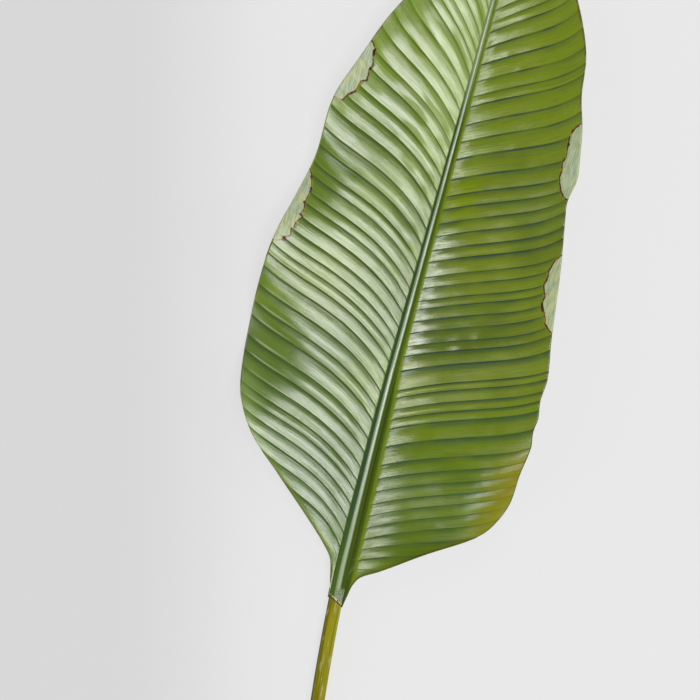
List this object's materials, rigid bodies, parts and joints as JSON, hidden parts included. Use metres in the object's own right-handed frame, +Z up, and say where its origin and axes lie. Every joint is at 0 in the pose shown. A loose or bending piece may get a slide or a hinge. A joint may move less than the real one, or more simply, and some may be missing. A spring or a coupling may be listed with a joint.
{
  "type": "banana leaf",
  "caption": "Long pleated banana leaf with waved margins, a raised midrib and a cut leaf stalk, lying on its back.",
  "frame": {"origin": "centre of the bounding box, on the surface that the leaf lies on", "axes": "+Y along the midrib towards the tip, +Z up out of the leaf's upper face, +X to the right of the midrib seen from above"},
  "size_m": [0.2448, 0.812, 0.0294],
  "materials": {
    "leaf": "soft waxy gloss, upper face"
  },
  "bodies": {
    "root": {"banana_leaf": "leaf"}
  },
  "joints": []
}
